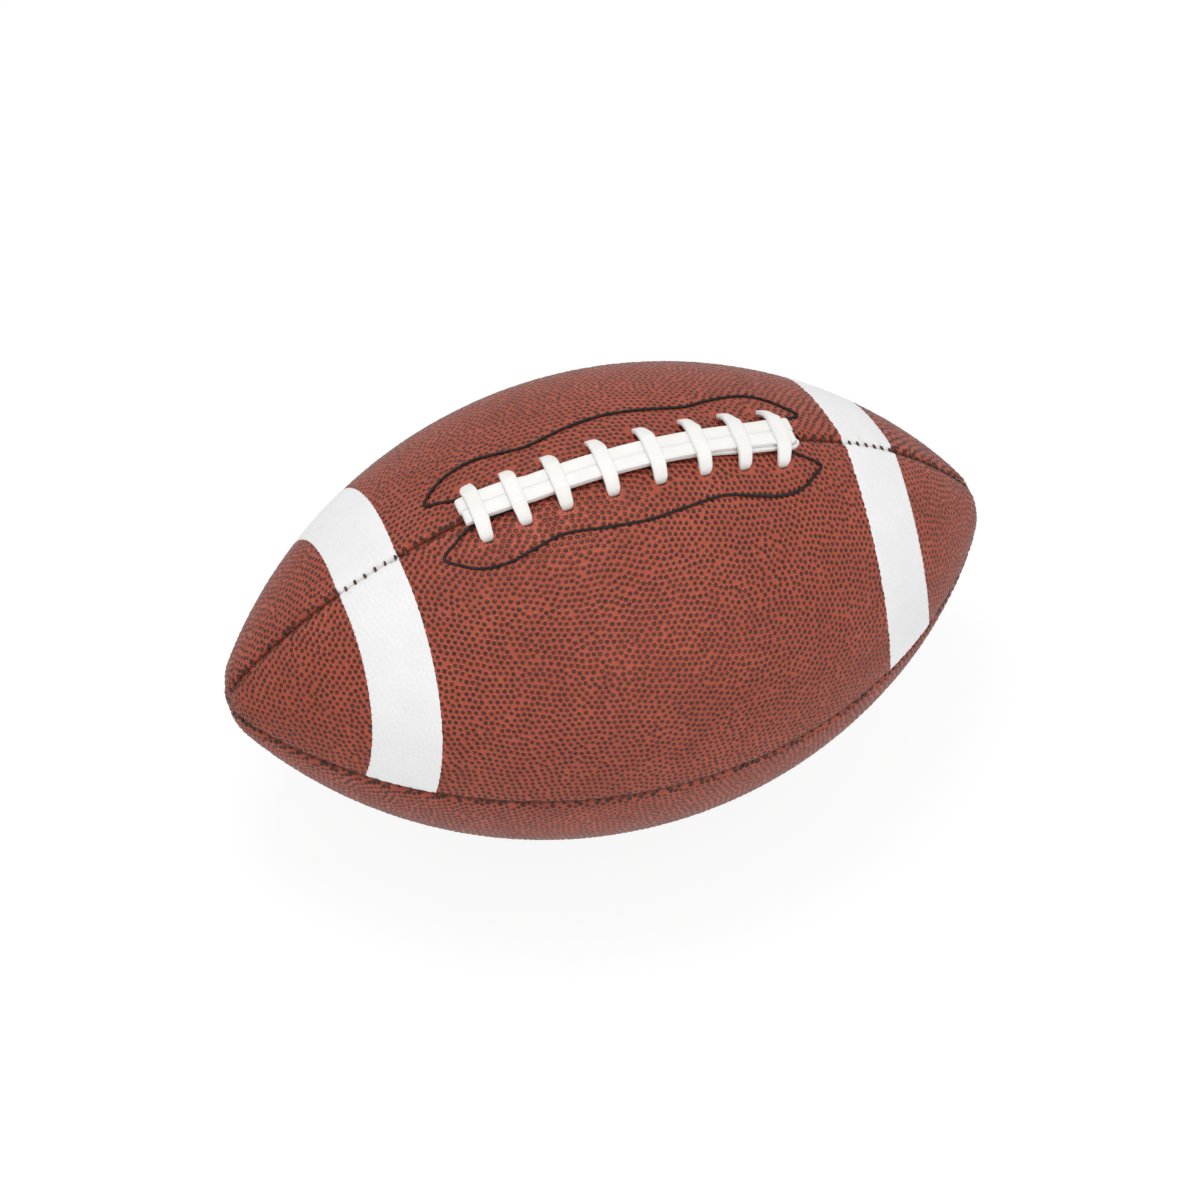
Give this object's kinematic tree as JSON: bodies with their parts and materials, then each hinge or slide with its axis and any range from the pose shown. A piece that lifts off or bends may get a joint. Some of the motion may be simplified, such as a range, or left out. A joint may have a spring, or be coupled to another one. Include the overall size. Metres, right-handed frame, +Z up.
{
  "type": "american football",
  "caption": "Prolate leather ball of sewn panels with turned-in seams, laced slit, white end stripes, lining, inflated bladder and a push-in valve core.",
  "frame": {"origin": "on the surface that the ball lies on, under the middle of its belly", "axes": "+X along the long axis, towards the end with the longer lace tail fold; +Z up through the laces; -Y is the front"},
  "size_m": [0.2894, 0.168, 0.1728],
  "materials": {
    "cover_leather": "pebbled composite leather, glossy dark pebble tops on rust brown",
    "stripe_white": "matt white coating over the pebbles",
    "lace_white": "off-white vinyl lace, fine ribbed, satin",
    "thread_black": "waxed black thread",
    "seam_thread_brown": "waxed brown thread",
    "lining_fabric": "laminated woven cotton",
    "facing_fabric": "stiff woven webbing",
    "guard_leather": "soft split leather",
    "bladder_rubber": "smooth black butyl rubber",
    "valve_rubber": "moulded black rubber",
    "core_rubber": "moulded black rubber, slightly lighter"
  },
  "bodies": {
    "ball": {"panel_lace_front": "cover_leather", "panel_lace_rear": "cover_leather", "panel_bottom_front": "cover_leather", "panel_bottom_rear": "cover_leather", "lining_lace_front": "lining_fabric", "lining_lace_rear": "lining_fabric", "lining_bottom_front": "lining_fabric", "lining_bottom_rear": "lining_fabric", "stripe_lace_front_left": "stripe_white", "stripe_lace_front_right": "stripe_white", "stripe_lace_rear_left": "stripe_white", "stripe_lace_rear_right": "stripe_white", "seam_thread_lace_left": "seam_thread_brown", "seam_thread_lace_right": "seam_thread_brown", "seam_thread_front": "seam_thread_brown", "seam_thread_bottom": "seam_thread_brown", "seam_thread_rear": "seam_thread_brown", "lace_facing_front": "facing_fabric", "lace_facing_rear": "facing_fabric", "facing_thread_front": "thread_black", "facing_thread_rear": "thread_black", "lace": "lace_white", "lace_guard": "guard_leather", "bladder": "bladder_rubber", "valve_housing": "valve_rubber"},
    "plug": {"valve_core": "core_rubber"}
  },
  "joints": [
    {"name": "valve_core_pull", "type": "slide", "parent": "ball", "child": "plug", "axis": [0, 0.7071, -0.7071], "range_m": [0, 0.014]}
  ]
}
